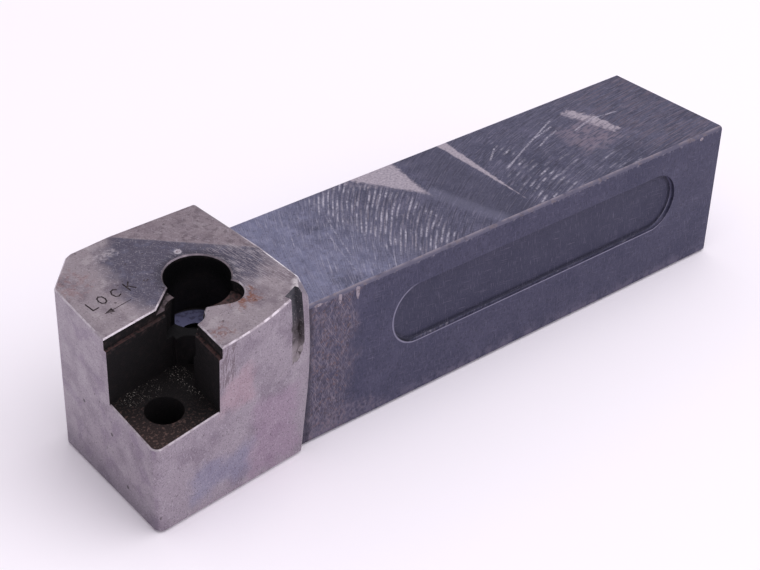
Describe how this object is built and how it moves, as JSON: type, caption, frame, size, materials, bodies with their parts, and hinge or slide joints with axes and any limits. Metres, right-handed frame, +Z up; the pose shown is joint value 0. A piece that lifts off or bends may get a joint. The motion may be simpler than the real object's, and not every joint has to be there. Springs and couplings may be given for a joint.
{
  "type": "turning tool holder",
  "caption": "Right-hand turning tool holder: a square shank with an offset, taller head that has a tilted pocket for a rhombic insert and a recess for its clamp, both empty.",
  "frame": {"origin": "on the bottom face, on the shank's centreline, at the middle of the 127 mm length", "axes": "+X along the shank to the nose, +Y to the cutting side, +Z up"},
  "size_m": [0.1267, 0.0307, 0.0316],
  "materials": {
    "steel": "worn black oxide on the shank, ground and stained on the head"
  },
  "bodies": {
    "root": {"holder_body": "steel"}
  },
  "joints": []
}
